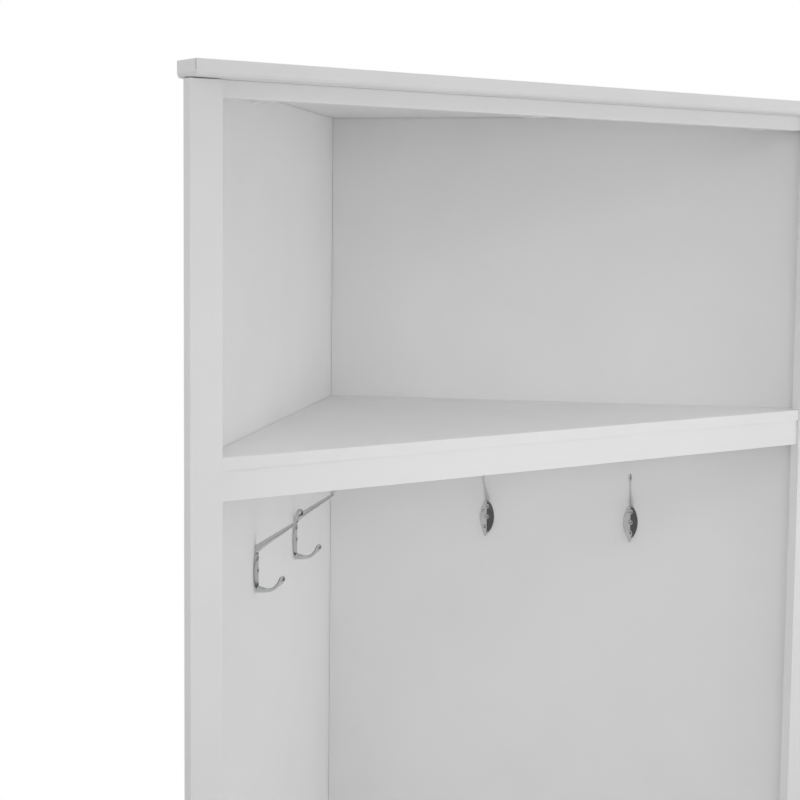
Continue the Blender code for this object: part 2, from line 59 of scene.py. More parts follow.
SIDES = {"left": -1, "right": 1}

stile_low, stile_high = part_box("right_stile")
BOARD = stile_high.y - stile_low.y                  # thickness
CORNER_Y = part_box("left_side_panel")[1].y - BOARD * ROOT2       # inside corner
STILE_BACK_V = CORNER_Y - stile_high.y


# ---------------------------------------------------------------- places
def plan(u, v):
    """World X, Y of a point u across the front and v forward of the inside corner."""
    return (u, CORNER_Y - v)


def on_wall(side, s, n, z):
    """World point s along a wall from the inside corner, n out of its inside face."""
    return Vector((*plan(side * (s - n) / ROOT2, (s + n) / ROOT2), z))


def wall_place(side, point):
    """How far along its wall, and out of it, a world point lies."""
    u = side * point.x
    v = CORNER_Y - point.y
    return (v + u) / ROOT2, (v - u) / ROOT2


def out_of_wall(side):
    """Direction straight out of a wall's inside face."""
    return Vector((-side, -1.0, 0.0)).normalized()


UP = Vector((0.0, 0.0, 1.0))
FORWARD = Vector((0.0, -1.0, 0.0))


def centre(node):
    low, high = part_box(node)
    return (low + high) / 2.0


def aimed(point, direction):
    """Matrix that stands a turned piece at a point, with its +Z along a direction."""
    return Matrix.Translation(point) @ direction.to_track_quat("Z", "Y").to_matrix().to_4x4()


# ---------------------------------------------------------------- materials
def new_material(name, colour, roughness, metallic=0.0):
    """Principled material and its nodes; colour is linear."""
    mat = bpy.data.materials.new(name)
    mat.use_nodes = True
    nodes = mat.node_tree.nodes
    shader = nodes["Principled BSDF"]
    shader.inputs["Base Color"].default_value = (*colour, 1.0)
    shader.inputs["Roughness"].default_value = roughness
    shader.inputs["Metallic"].default_value = metallic
    return mat, nodes, mat.node_tree.links, shader


def noise(nodes, links, scale, detail, stretch=(1.0, 1.0, 1.0), rough=0.5):
    """Noise in the object's own coordinates; scale is in cycles per metre."""
    where = nodes.new("ShaderNodeTexCoord")
    fit = nodes.new("ShaderNodeMapping")
    fit.inputs["Scale"].default_value = stretch
    grain = nodes.new("ShaderNodeTexNoise")
    grain.inputs["Scale"].default_value = scale
    grain.inputs["Detail"].default_value = detail
    grain.inputs["Roughness"].default_value = rough
    links.new(where.outputs["Object"], fit.inputs["Vector"])
    links.new(fit.outputs["Vector"], grain.inputs["Vector"])
    return grain.outputs["Fac"]


def spread(nodes, links, source, low, high):
    """The middle of a noise's range, stretched to run from low to high."""
    ramp = nodes.new("ShaderNodeMapRange")
    ramp.inputs["From Min"].default_value = 0.3
    ramp.inputs["From Max"].default_value = 0.7
    ramp.inputs["To Min"].default_value = low
    ramp.inputs["To Max"].default_value = high
    links.new(source, ramp.inputs["Value"])
    return ramp.outputs["Result"]


def tint(nodes, links, source, dark, light, target):
    """Drive a colour socket between two colours."""
    mix = nodes.new("ShaderNodeMix")
    mix.data_type = "RGBA"
    mix.inputs["A"].default_value = (*dark, 1.0)
    mix.inputs["B"].default_value = (*light, 1.0)
    links.new(source, mix.inputs["Factor"])
    links.new(mix.outputs["Result"], target)


def bump(nodes, links, shader, source, strength, distance):
    """Fine relief in the shader's normal; distance is in metres."""
    relief = nodes.new("ShaderNodeBump")
    relief.inputs["Strength"].default_value = strength
    relief.inputs["Distance"].default_value = distance
    links.new(source, relief.inputs["Height"])
    links.new(relief.outputs["Normal"], shader.inputs["Normal"])


def foil_material():
    """White satin foil on particle board: faint clouding, fine print grain and uneven sheen."""
    mat, nodes, links, shader = new_material("white_foil", (0.78, 0.78, 0.78), 0.45)
    cloud = spread(nodes, links, noise(nodes, links, 9.0, 3.0), 0.0, 1.0)
    dark, light = (0.895, 0.895, 0.897), (0.915, 0.915, 0.914)
    tint(nodes, links, cloud, dark, light, shader.inputs["Base Color"])
    grain = noise(nodes, links, 900.0, 3.0, rough=0.6)
    links.new(spread(nodes, links, grain, 0.40, 0.50), shader.inputs["Roughness"])
    bump(nodes, links, shader, grain, 0.12, 0.0001)
    shader.inputs["Specular IOR Level"].default_value = 0.35
    return mat


def chipboard_material():
    """Raw particle board, where an edge is neither foiled nor banded."""
    mat, nodes, links, shader = new_material("chipboard", (0.5, 0.38, 0.25), 0.85)
    chips = nodes.new("ShaderNodeTexVoronoi")
    chips.inputs["Scale"].default_value = 420.0
    where = nodes.new("ShaderNodeTexCoord")
    links.new(where.outputs["Object"], chips.inputs["Vector"])
    chip, joint = (0.56, 0.43, 0.29), (0.30, 0.21, 0.13)
    tint(nodes, links, chips.outputs["Distance"], chip, joint, shader.inputs["Base Color"])
    bump(nodes, links, shader, chips.outputs["Distance"], 0.5, 0.0004)
    return mat


def groove_shade_material():
    """Grey painted shade for the groove where two edge bands meet."""
    mat, nodes, links, shader = new_material("groove_painted_shade", (0.60, 0.60, 0.60), 0.7)
    speck = noise(nodes, links, 1200.0, 2.0)
    tint(nodes, links, speck, (0.56, 0.56, 0.56), (0.66, 0.66, 0.66), shader.inputs["Base Color"])
    return mat


def metal_grey(level):
    """Grey with a trace of blue, as plated metal has."""
    return (level, level, level + 0.01)


def metal_material(name, dark, light, roughness, scale, relief, stretch=(1.0, 1.0, 1.0)):
    """Metal with slightly uneven colour, polish and surface; dark and light are grey levels."""
    mat, nodes, links, shader = new_material(name, metal_grey(light), roughness[0], 1.0)
    field = noise(nodes, links, scale, 4.0, stretch)
    patchy = spread(nodes, links, field, 0.0, 1.0)
    tint(nodes, links, patchy, metal_grey(dark), metal_grey(light), shader.inputs["Base Color"])
    links.new(spread(nodes, links, field, *roughness), shader.inputs["Roughness"])
    bump(nodes, links, shader, field, relief, 0.00005)
    return mat


def beech_material():
    """Raw beech: fine grain along the dowel."""
    mat, nodes, links, shader = new_material("beech", (0.62, 0.45, 0.27), 0.6)
    field = noise(nodes, links, 250.0, 4.0, (1.0, 1.0, 0.12))
    dark, light = (0.52, 0.35, 0.19), (0.69, 0.52, 0.33)
    tint(nodes, links, spread(nodes, links, field, 0.0, 1.0), dark, light, shader.inputs["Base Color"])
    bump(nodes, links, shader, field, 0.4, 0.0002)
    return mat


def plastic_material():
    """White moulded plastic with a fine spark-eroded texture."""
    mat, nodes, links, shader = new_material("block_plastic", (0.88, 0.88, 0.87), 0.4)
    field = noise(nodes, links, 1500.0, 3.0)
    dark, light = (0.86, 0.86, 0.85), (0.90, 0.90, 0.89)
    tint(nodes, links, spread(nodes, links, field, 0.0, 1.0), dark, light, shader.inputs["Base Color"])
    links.new(spread(nodes, links, field, 0.35, 0.5), shader.inputs["Roughness"])
    bump(nodes, links, shader, field, 0.2, 0.0001)
    return mat


FOIL = foil_material()
CHIPBOARD = chipboard_material()
# grey painted shade for the faces of the groove where the top board's edge bands meet
GROOVE_SHADE = groove_shade_material()
BOARD_MATERIALS = (FOIL, CHIPBOARD, GROOVE_SHADE)
RAW_FACE = BOARD_MATERIALS.index(CHIPBOARD)
GROOVE_SHADE_FACE = BOARD_MATERIALS.index(GROOVE_SHADE)
CHROME = metal_material("polished_casting", 0.58, 0.66, (0.06, 0.12), 160.0, 0.12)
SCREW = metal_material("bright_screw", 0.52, 0.64, (0.18, 0.30), 900.0, 0.2)
ZINC = metal_material("dull_zinc", 0.36, 0.50, (0.40, 0.60), 700.0, 0.4)
SHEET = metal_material("plated_sheet", 0.50, 0.62, (0.25, 0.38), 300.0, 0.2, (0.3, 1.0, 1.0))
BEECH = beech_material()
PLASTIC = plastic_material()


# ---------------------------------------------------------------- mesh helpers
def mesh_from(name, bm):
    """Mesh of a bmesh, with its faces turned outwards."""
    bmesh.ops.recalc_face_normals(bm, faces=bm.faces)
    mesh = bpy.data.meshes.new(name)
    bm.to_mesh(mesh)
    bm.free()
    return mesh


def slab(lower, upper):
    """Solid between two outlines with the same count of points."""
    bm = bmesh.new()
    low_ring = [bm.verts.new(point) for point in lower]
    high_ring = [bm.verts.new(point) for point in upper]
    bm.faces.new(low_ring)
    bm.faces.new(high_ring)
    for i in range(len(low_ring)):
        j = (i + 1) % len(low_ring)
        bm.faces.new([low_ring[i], low_ring[j], high_ring[j], high_ring[i]])
    return bm


def prism(outline, low, high):
    """Solid with the outline in plan, from low to high."""
    bm = slab([(x, y, low) for x, y in outline], [(x, y, high) for x, y in outline])
    bmesh.ops.recalc_face_normals(bm, faces=bm.faces)
    return bm


def skin(bm, rings):
    """Closed skin over rings of vertices, all with the same count."""
    count = len(rings[0])
    for lower, upper in zip(rings, rings[1:]):
        for i in range(count):
            j = (i + 1) % count
            bm.faces.new([lower[i], lower[j], upper[j], upper[i]])
    bm.faces.new(rings[0])
    bm.faces.new(rings[-1])


def turned(bm, profile, sides, matrix=None):
    """Profile of (radius, height) turned about Z, closed at both ends."""
    matrix = matrix or Matrix()
    turns = [2.0 * math.pi * i / sides for i in range(sides)]
    rings = []
    for radius, height in profile:
        points = [Vector((radius * math.cos(a), radius * math.sin(a), height)) for a in turns]
        rings.append([bm.verts.new(matrix @ point) for point in points])
    skin(bm, rings)


def moved(mesh, matrix):
    """Mesh put through a matrix that may mirror it, with its faces turned outwards again."""
    mesh.transform(matrix)
    bm = bmesh.new()
    bm.from_mesh(mesh)
    return mesh_from(mesh.name, bm)


def evaluated(item):
    """Mesh of an object with its modifiers applied."""
    bpy.context.view_layer.update()
    graph = bpy.context.evaluated_depsgraph_get()
    return bpy.data.meshes.new_from_object(item.evaluated_get(graph))


def combined(mesh, tools, operation):
    """Exact Boolean of a mesh with closed tool meshes, one after another."""
    for tool_mesh in tools:
        body = bpy.data.objects.new("body", mesh)
        tool = bpy.data.objects.new("tool", tool_mesh)
        for item in (body, tool):
            bpy.context.scene.collection.objects.link(item)
        step = body.modifiers.new("step", "BOOLEAN")
        step.operation = operation
        step.solver = "EXACT"
        step.object = tool
        mesh = evaluated(body)
        bpy.data.objects.remove(body)
        bpy.data.objects.remove(tool)
    return mesh


def cut(mesh, cutters):
    return combined(mesh, cutters, "DIFFERENCE")


def soften(mesh, angle=35.0):
    """Smooth shading, with edges sharper than an angle in degrees kept sharp."""
    mesh.shade_smooth()
    mesh.set_sharp_from_angle(angle=math.radians(angle))


def add_piece(name, mesh, materials, nodes, matrix=None):
    """Put one finished piece in the scene, on the only body, in place of its CAD nodes."""
    mesh.name = name
    mesh.materials.clear()
    for mat in materials:
        mesh.materials.append(mat)
    piece = bpy.data.objects.new(name, mesh)
    bpy.context.scene.collection.objects.link(piece)
    if matrix:
        piece.matrix_world = matrix
    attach(piece, "root")
    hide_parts(*nodes)
    return piece


# ---------------------------------------------------------------- boards
def eased_board(outline, low, high, is_big=None):
    """Board with every edge rounded a little, and the edges that is_big picks rounded more."""
    bm = prism(outline, low, high)
    if is_big:
        big = [e for e in bm.edges if is_big(e)]
        bmesh.ops.bevel(bm, geom=big, offset=EASED_EDGE, segments=4, profile=0.3, affect="EDGES")
    sharp = [e for e in bm.edges if e.calc_face_angle(0.0) > math.radians(40.0)]
    bmesh.ops.bevel(bm, geom=sharp, offset=EDGE_RADIUS, segments=3, profile=0.5, affect="EDGES")
    for face in bm.faces:
        on_floor = face.normal.z < -0.99 and face.calc_center_median().z < 5.0 * MM
        face.material_index = RAW_FACE if on_floor else 0
    return mesh_from("board", bm)


def box_outline(node):
    low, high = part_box(node)
    return [(low.x, low.y), (high.x, low.y), (high.x, high.y), (low.x, high.y)]


def add_board(name, node, outline, cutters=(), is_big=None, rise=0.0):
    """Detailed board in place of its CAD node; rise closes the hairline gap over it."""
    low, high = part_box(node)
    mesh = cut(eased_board(outline, low.z, high.z + rise, is_big), cutters)
    soften(mesh)
    piece = add_piece(name, mesh, BOARD_MATERIALS, (node,))
    weigh = piece.modifiers.new("weigh", "WEIGHTED_NORMAL")
    weigh.keep_sharp = True
    return piece


def cylinder_cutter(radius, low, high, matrix):
    bm = bmesh.new()
    turned(bm, [(radius, low), (radius, high)], ROUND, matrix)
    return mesh_from("cutter", bm)


CAM_RADIUS = 7.5 * MM           # cam lock's drum
CAM_DEPTH = 12.5 * MM
CORNER_HEAD = 4.0 * MM          # radius of a corner screw's head
CORNER_LEVELS = ("lower", "middle", "upper")
THROUGH_SIDE = SIDES["left"]    # the panel that runs past the other's end in the corner


def cam_matrix(name):
    """Where a cam lock's face is, and which way it faces."""
    low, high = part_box("cam_lock_" + name)
    middle = (low + high) / 2.0
    level, label = name.split("_")
    side = SIDES[label]
    if level == "top":
        s, _ = wall_place(side, middle)
        return aimed(on_wall(side, s, -BOARD, middle.z), -out_of_wall(side))
    return aimed(Vector((middle.x, middle.y, low.z)), -UP)


def cam_pocket(name):
    return cylinder_cutter(CAM_RADIUS + GAP, -CAM_DEPTH, 2.0 * MM, cam_matrix(name))


def corner_screw_matrix(level):
    point = centre("corner_screw_" + level)
    s, _ = wall_place(THROUGH_SIDE, point)
    return aimed(on_wall(THROUGH_SIDE, s, -BOARD, point.z), -out_of_wall(THROUGH_SIDE))


def corner_screw_hole(level):
    bm = bmesh.new()
    hole = 2.3 * MM
    mouth = CORNER_HEAD + GAP
    profile = [(hole, -BOARD - MM), (hole, -3.0 * MM), (mouth, -GAP), (mouth, 2.0 * MM)]
    turned(bm, profile, ROUND, corner_screw_matrix(level))
    return mesh_from("cutter", bm)


def side_panels():
    """Side panels with mitred front ends; one runs past the other's end in the corner."""
    reach = (STILE_BACK_V - GAP) * ROOT2
    for label, side in SIDES.items():
        start = -BOARD if side == THROUGH_SIDE else GAP
        corners = [(start, 0.0), (reach, 0.0), (reach + BOARD, -BOARD), (start, -BOARD)]
        outline = [tuple(on_wall(side, s, n, 0.0).xy) for s, n in corners]
        cutters = [cam_pocket("top_" + label)]
        if side == THROUGH_SIDE:
            cutters += [corner_screw_hole(level) for level in CORNER_LEVELS]
        add_board("panel_" + label, label + "_side_panel", outline, cutters)


def top_board():
    """Top board with an eased lower edge, and a groove where its edge bands meet, coloured grey with
    painted shade.
    """
    low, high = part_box("top_board")
    end = high.x
    front_v = CORNER_Y - low.y
    corner_v = CORNER_Y - high.y
    end_v = end + corner_v
    corners = [(-end, front_v), (end, front_v), (end, end_v), (0.0, corner_v), (-end, end_v)]
    outline = [plan(u, v) for u, v in corners]

    def is_big(edge):
        underneath = all(abs(v.co.z - low.z) < GAP for v in edge.verts)
        ahead = all(v.co.y < plan(0.0, end_v)[1] + GAP for v in edge.verts)
        level = edge.calc_length() < 2.0 * end + GAP
        return underneath and ahead and level

    lines = []
    foot = low.z + BAND_LINE_FOOT
    front = low.y + GAP
    back = front + BAND_LINE_WIDTH
    for side in SIDES.values():
        left, right = sorted((side * (end - BAND_LINE_DEPTH), side * (end + MM)))
        sides = [(left, front), (right, front), (right, back), (left, back)]
        lines.append(mesh_from("line", prism(sides, foot, high.z + MM)))
    board = add_board("board_top", "top_board", outline, lines, is_big)
    # faces inside the groove take the grey painted shade, on top of the groove's own shadow
    for face in board.data.polygons:
        inward = end - abs(face.center.x)
        behind = face.center.y - low.y
        in_line = GAP < inward < BAND_LINE_DEPTH + GAP and GAP < behind < BAND_LINE_WIDTH + 2.0 * GAP
        if in_line and face.center.z > foot - GAP:
            face.material_index = GROOVE_SHADE_FACE


def notched_boards():
    """Shelf and bottom board, notched round the stiles."""
    for node, level in (("shelf_board", "shelf"), ("bottom_board", "bottom")):
        low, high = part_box(node)
        front_v = CORNER_Y - low.y
        wall = GAP * ROOT2
        shoulder = STILE_BACK_V - GAP
        between = stile_low.x - GAP
        right = [(between, front_v), (between, shoulder), (shoulder - wall, shoulder)]
        left = [(-u, v) for u, v in reversed(right)]
        outline = [plan(u, v) for u, v in right + [(0.0, wall)] + left]
        cutters = [cam_pocket(level + "_" + label) for label in SIDES]
        add_board("board_" + level, node, outline, cutters)


STRAIGHT_BOARDS = (             # CAD node, piece, rise towards the board over it
    ("left_stile", "stile_left", 0.0),
    ("right_stile", "stile_right", 0.0),
    ("top_rail", "rail_top", 1.4 * GAP),
    ("shelf_apron", "apron_shelf", 0.8 * GAP),
    ("plinth_rail", "rail_plinth", 0.8 * GAP),
)


def straight_boards():
    """Stiles and rails, plain bars."""
    for node, name, rise in STRAIGHT_BOARDS:
        add_board(name, node, box_outline(node), rise=rise)


# ---------------------------------------------------------------- hooks
HOOK_ROWS = ("rear", "front")
LEAF_HALF_HEIGHT = 28.25 * MM
LEAF_HALF_WIDTH = 10.9 * MM
LEAF_RIM = 1.4 * MM
LEAF_RIDGE = 4.6 * MM
SCREW_SEAT = 2.4 * MM           # depth of the leaf under a screw head
SCREW_RECESS = 3.8 * MM         # radius of the recess round a screw head
UPPER_SCREW_RISE = 16.8 * MM    # upper screw above the leaf's centre
SCREW_PITCH = centre("hook_screw_left_front_lower").z - centre("hook_screw_left_front_upper").z
LOWER_SCREW_RISE = SCREW_PITCH + UPPER_SCREW_RISE
RING_SIDES = 36
RING_STEPS = 6                  # rings between two stations of a prong

# Stations of the prongs in mm, in the plane of the hook: n out of the wall and z above the leaf's
# centre, for the upper and the lower side, then the half-width.
UPPER_PRONG = [
    (-3.0, 30.7, 1.9, 21.8, 3.1),
    (-0.3, 32.4, 5.2, 24.6, 3.05),
    (11.9, 40.2, 15.9, 33.8, 2.75),
    (25.7, 49.0, 29.3, 43.4, 2.15),
    (38.5, 57.1, 41.5, 52.3, 1.65),
    (47.5, 62.7, 49.9, 58.8, 1.35),
]
LOWER_PRONG = [
    (-1.5, -17.8, -1.5, -28.0, 2.5),
    (1.5, -18.2, 1.5, -28.1, 2.5),
    (5.0, -19.3, 5.0, -28.1, 2.45),
    (10.2, -20.9, 10.2, -27.9, 2.4),
    (14.7, -21.8, 15.8, -27.3, 2.3),
    (19.2, -21.8, 21.0, -26.0, 2.25),
    (23.2, -20.2, 25.8, -23.7, 2.3),
    (26.9, -16.8, 30.3, -20.0, 2.5),
]
UPPER_TIP = {       # drop: neck (n, z), angle of its axis, rows of distance, half-depth, half-width
    "neck": (53.0, 63.7),
    "angle": 70.0,
    "rows": [(0.0, 2.0, 1.3), (3.0, 2.5, 1.35), (6.0, 3.5, 1.8), (9.0, 4.4, 2.3), (12.0, 4.85, 2.65),
             (15.0, 4.5, 2.45), (17.2, 3.6, 1.9), (18.8, 2.1, 1.0), (19.3, 0.9, 0.4)],
}
LOWER_TIP = {                   # ball
    "neck": (32.2, -14.7),
    "angle": 58.0,
    "rows": [(0.0, 3.05, 2.9), (2.2, 3.6, 3.5), (5.6, 3.9, 3.8), (8.2, 3.25, 3.2), (9.9, 1.9, 1.9),
             (10.4, 0.7, 0.7)],
}


def leaf_width(z):
    """Half-width of the leaf at height z: two arcs that meet in points."""
    radius = (LEAF_HALF_HEIGHT ** 2 + LEAF_HALF_WIDTH ** 2) / (2.0 * LEAF_HALF_WIDTH)
    return math.sqrt(radius ** 2 - z ** 2) - (radius - LEAF_HALF_WIDTH)


def smooth_rows(rows, steps):
    """Catmull-Rom curve through rows of numbers, with so many steps from each row to the next."""
    def between(o, p, q, r, t):
        square = (2 * o - 5 * p + 4 * q - r) * t ** 2
        cube = (3 * (p - q) + r - o) * t ** 3
        return 0.5 * (2 * p + (q - o) * t + square + cube)

    out = []
    for i in range(len(rows) - 1):
        before = rows[max(i - 1, 0)]
        after = rows[min(i + 2, len(rows) - 1)]
        for k in range(steps):
            columns = zip(before, rows[i], rows[i + 1], after)
            out.append([between(*column, k / steps) for column in columns])
    return out + [list(rows[-1])]


def tip_stations(tip):
    """Stations of a tip, in the form of the prongs' stations."""
    angle = math.radians(tip["angle"])
    out, up = math.cos(angle), math.sin(angle)
    neck_n, neck_z = tip["neck"]
    rows = []
    for distance, depth, width in tip["rows"]:
        n = neck_n + distance * out
        z = neck_z + distance * up
        rows.append((n - depth * up, z + depth * out, n + depth * up, z - depth * out, width))
    return rows


def prong_mesh(rows):
    """Oval rod through stations, closed at both ends."""
    bm = bmesh.new()
    rings = []
    for upper_n, upper_z, lower_n, lower_z, width in smooth_rows(rows, RING_STEPS):
        ring = []
        for i in range(RING_SIDES):
            a = 2.0 * math.pi * i / RING_SIDES
            share = 0.5 + 0.5 * math.cos(a)
            n = lower_n + (upper_n - lower_n) * share
            z = lower_z + (upper_z - lower_z) * share
            ring.append(bm.verts.new((width * math.sin(a) * MM, -n * MM, z * MM)))
        rings.append(ring)
    skin(bm, rings)
    return mesh_from("prong", bm)


def leaf_mesh():
    """Leaf-shaped plate: flat back, low rim, two facets that meet in a straight ridge."""
    rim, ridge, nose = LEAF_RIM, LEAF_RIDGE, 0.3 * MM
    climb = ridge - rim
    half = [(1.0, 0.0), (1.0, rim - nose), (0.985, rim - 0.3 * nose), (0.955, rim + 0.2 * nose)]
    half += [(0.65, rim + 0.33 * climb), (0.35, rim + 0.64 * climb), (0.05, ridge - 0.16 * MM)]
    profile = half + [(0.0, ridge)] + [(-x, n) for x, n in reversed(half)]
    steps = 48
    least = 0.25 * MM           # half-width of the blunt points
    bm = bmesh.new()
    rings = []
    for k in range(steps + 1):
        z = -LEAF_HALF_HEIGHT * math.cos(math.pi * k / steps)
        width = max(leaf_width(z), least)
        rings.append([bm.verts.new((x * width, -n, z)) for x, n in profile])
    skin(bm, rings)
    return mesh_from("leaf", bm)


def trimmed_at_wall(mesh):
    """Mesh cut off flat at the wall's face."""
    bm = bmesh.new()
    bm.from_mesh(mesh)
    geom = list(bm.verts) + list(bm.edges) + list(bm.faces)
    wall = Vector((0.0, -GAP, 0.0))
    made = bmesh.ops.bisect_plane(bm, geom=geom, plane_co=wall, plane_no=-FORWARD, clear_outer=True)
    edges = [e for e in made["geom_cut"] if isinstance(e, bmesh.types.BMEdge)]
    bmesh.ops.holes_fill(bm, edges=edges)
    return mesh_from("trimmed", bm)


def hook_mesh():
    """One casting: leaf and both prongs, joined, flat at the wall and drilled for its screws."""
    upper = prong_mesh(UPPER_PRONG + tip_stations(UPPER_TIP))
    lower = prong_mesh(LOWER_PRONG + tip_stations(LOWER_TIP))
    mesh = trimmed_at_wall(combined(leaf_mesh(), (upper, lower), "UNION"))
    profile = [(SHANK_HOLE, -MM), (SHANK_HOLE, SCREW_SEAT)]
    profile += [(SCREW_RECESS, SCREW_SEAT), (SCREW_RECESS, 8.0 * MM)]
    cutters = []
    for rise in (UPPER_SCREW_RISE, LOWER_SCREW_RISE):
        bm = bmesh.new()
        turned(bm, profile, FINE_ROUND, aimed(Vector((0.0, 0.0, rise)), FORWARD))
        cutters.append(mesh_from("cutter", bm))
    mesh = cut(mesh, cutters)
    soften(mesh, 24.0)
    return mesh


def hooks():
    """Four copies of one casting, placed by their upper screws."""
    casting = hook_mesh()
    for label, side in SIDES.items():
        turn = Matrix.Rotation(-side * math.pi / 4.0, 4, "Z")
        for row in HOOK_ROWS:
            name = label + "_" + row
            screw = centre("hook_screw_" + name + "_upper")
            s, _ = wall_place(side, screw)
            place = Matrix.Translation(on_wall(side, s, 0.0, screw.z - UPPER_SCREW_RISE)) @ turn
            add_piece("hook_" + name, casting.copy(), (CHROME,), ("coat_hook_" + name,), place)


# ---------------------------------------------------------------- screws, locks, blocks, brackets
BLOCK_SEAT = 4.4 * MM           # radius of a corner block's screw seats
BLOCK_MOUTHS = {"up": 5.4 * MM, "side": BLOCK_SEAT}     # radius of each seat at its mouth
BRACKET_LEG = 28.0 * MM
BRACKET_WIDTH = 16.0 * MM
BRACKET_METAL = 1.6 * MM        # thickness, and radius inside the bend
BRACKET_CORNER = 3.0 * MM       # radius of its free corners
WALL_HOLE = 2.4 * MM            # radius
WALL_HOLE_RISE = 18.7 * MM      # above the bracket's foot
DOWN_SCREW_STEP = 18.0 * MM     # from the bracket's back to the screw through its foot


def add_screw(name, mesh, node, place):
    """Own copy of a screw, in place of its CAD node."""
    add_piece(name, mesh.copy(), (SCREW,), (node,), place)


def cross_recess(size, depth):
    """Cross-shaped cutter for a screw's drive, tapering inwards."""
    cutters = []
    for turn in (0.0, math.pi / 2.0):
        thin = size * 0.13
        outlines = []
        for z, shrink in ((-depth, 0.45), (0.5 * MM, 1.0)):
            wide = size / 2.0 * shrink
            points = [(-wide, -thin, z), (wide, -thin, z), (wide, thin, z), (-wide, thin, z)]
            outlines.append([Matrix.Rotation(turn, 3, "Z") @ Vector(p) for p in points])
        cutters.append(mesh_from("cross", slab(*outlines)))
    return cutters


def screw_mesh(profile, top, drive):
    """Turned screw with a cross recess in its head, whose highest point is at top."""
    bm = bmesh.new()
    turned(bm, profile, ROUND)
    cutters = cross_recess(drive, drive * 0.4)
    for cutter in cutters:
        cutter.transform(Matrix.Translation((0.0, 0.0, top)))
    mesh = cut(mesh_from("screw", bm), cutters)
    soften(mesh)
    return mesh


def thread(radius, core, start, end, turns):
    """Profile points of a thread from start up to end, as rings of crests and roots."""
    points = []
    step = (end - start) / turns
    for i in range(turns):
        z = start + (end - start) * i / turns
        points += [(core, z), (radius, z + 0.5 * step)]
    return points + [(core, end)]


def pan_profile(tip, seat, top, shank, head):
    """Pan-headed screw, threaded from its tip to just under the head."""
    rise = top - seat
    points = [(0.3 * MM, tip)] + thread(shank, 0.72 * shank, tip + 2.0 * MM, seat - 0.5 * MM, 9)
    points += [(0.9 * shank, seat), (head, seat), (head, seat + 0.35 * rise)]
    dome = [(0.97, 0.55), (0.88, 0.75), (0.72, 0.9), (0.5, 0.98), (0.2, 1.0)]
    return points + [(head * r, seat + rise * h) for r, h in dome]


def flat_profile(length, shank, head, cone):
    """Countersunk screw with its flat face at 0."""
    points = [(0.3 * MM, -length)] + thread(shank, 0.7 * shank, -length + 2.5 * MM, -cone - MM, 12)
    return points + [(0.9 * shank, -cone), (head, -0.4 * MM), (head, -0.05 * MM), (head - 0.1 * MM, 0.0)]


def hook_screws():
    reach = 4.9 * MM            # top of the heads, out of the wall
    head = 3.4 * MM
    profile = pan_profile(-11.5 * MM, SCREW_SEAT + GAP, reach, 1.7 * MM, head)
    mesh = screw_mesh(profile, reach, head)
    for label, side in SIDES.items():
        for row in HOOK_ROWS:
            for level in ("upper", "lower"):
                name = label + "_" + row + "_" + level
                point = centre("hook_screw_" + name)
                s, _ = wall_place(side, point)
                place = aimed(on_wall(side, s, 0.0, point.z), out_of_wall(side))
                add_screw("screw_" + name, mesh, "hook_screw_" + name, place)


def corner_screws():
    mesh = screw_mesh(flat_profile(45.0 * MM, 2.0 * MM, CORNER_HEAD, 3.0 * MM), 0.0, FLAT_DRIVE)
    for level in CORNER_LEVELS:
        add_screw("screw_corner_" + level, mesh, "corner_screw_" + level, corner_screw_matrix(level))


def rail_blocks():
    """Moulded corner blocks with rounded edges, two deep screw seats and their screws."""
    screw = screw_mesh(flat_profile(26.0 * MM, 1.8 * MM, 4.0 * MM, 2.6 * MM), 0.0, FLAT_DRIVE)
    for label in ("left", "middle", "right"):
        node = "rail_block_" + label
        low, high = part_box(node)
        bm = prism(box_outline(node), low.z, high.z)
        bmesh.ops.bevel(bm, geom=list(bm.edges), offset=0.8 * MM, segments=3, profile=0.5, affect="EDGES")
        up = centre(node + "_screw_up")
        up_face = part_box(node + "_screw_up")[0].z
        across = centre(node + "_screw_side")
        across_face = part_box(node + "_screw_side")[1].y
        places = {
            "up": aimed(Vector((up.x, up.y, up_face)), -UP),
            "side": aimed(Vector((across.x, across_face, across.z)), -FORWARD),
        }
        cutters = []
        for way, place in places.items():
            tool = bmesh.new()
            mouth = BLOCK_MOUTHS[way]
            profile = [(SHANK_HOLE, -30.0 * MM), (SHANK_HOLE, -3.2 * MM), (BLOCK_SEAT, -2.6 * MM)]
            profile += [(BLOCK_SEAT, MM), (mouth, 3.6 * MM), (mouth, 20.0 * MM)]
            turned(tool, profile, ROUND, place)
            cutters.append(mesh_from("cutter", tool))
        mesh = cut(mesh_from("block", bm), cutters)
        soften(mesh)
        add_piece("block_" + label, mesh, (PLASTIC,), (node,))
        for way, place in places.items():
            add_screw("screw_block_" + label + "_" + way, screw, node + "_screw_" + way, place)


def cam_locks():
    """Cam drums: a turned face with a raised rim, a cross drive and a pointer notch."""
    bm = bmesh.new()
    r = CAM_RADIUS
    dip = 0.5 * MM              # face under the rim
    profile = [(r - 0.4 * MM, -CAM_DEPTH + GAP), (r, -CAM_DEPTH + 0.7 * MM), (r, -dip)]
    profile += [(r - 0.2 * MM, -0.1 * MM), (r - 0.5 * MM, 0.0), (r - 1.2 * MM, 0.0)]
    profile += [(r - 1.5 * MM, -dip), (0.5 * MM, -dip)]
    turned(bm, profile, FINE_ROUND)
    cutters = cross_recess(5.2 * MM, 4.0 * MM)
    for cutter in cutters:
        cutter.transform(Matrix.Translation((0.0, 0.0, -dip)))
    pointer = prism([(-0.9 * MM, 5.0 * MM), (0.9 * MM, 5.0 * MM), (0.0, 8.5 * MM)], -1.6 * MM, 1.0 * MM)
    mesh = cut(mesh_from("drum", bm), cutters + [mesh_from("pointer", pointer)])
    soften(mesh)
    for level in ("top", "shelf", "bottom"):
        for label in SIDES:
            name = level + "_" + label
            place = cam_matrix(name)
            add_piece("lock_" + name, mesh.copy(), (ZINC,), ("cam_lock_" + name,), place)


